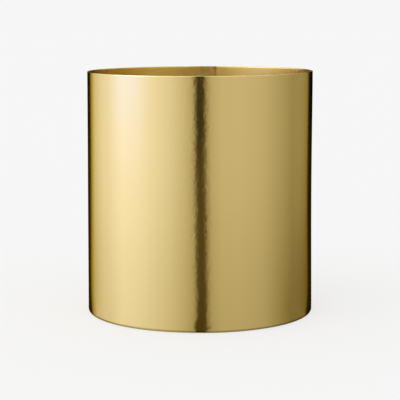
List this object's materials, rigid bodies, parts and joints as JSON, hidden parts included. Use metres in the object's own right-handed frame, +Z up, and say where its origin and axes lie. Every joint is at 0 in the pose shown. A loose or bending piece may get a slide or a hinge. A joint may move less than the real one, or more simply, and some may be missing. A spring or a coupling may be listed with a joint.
{
  "type": "cachepot",
  "caption": "Plain cylindrical brass cachepot, open at the top, with a lapped seam at the back, a turned-in foot and a soldered pan base.",
  "frame": {"origin": "centre of the foot, on the surface that the pot stands on", "axes": "+Z up along the pot's axis, -Y towards the viewer of the picture, so the lap seam is at the back near +Y"},
  "size_m": [0.14, 0.14, 0.15],
  "materials": {
    "wall_brass": "finely brushed along the height, satin",
    "base_brass": "as rolled and pressed, a little dull",
    "hard_solder": "hard solder, paler than the sheet, dressed by hand"
  },
  "bodies": {
    "root": {"wall_sheet": "wall_brass", "base_pan": "base_brass", "seam_solder": "hard_solder", "base_solder": "hard_solder"}
  },
  "joints": []
}
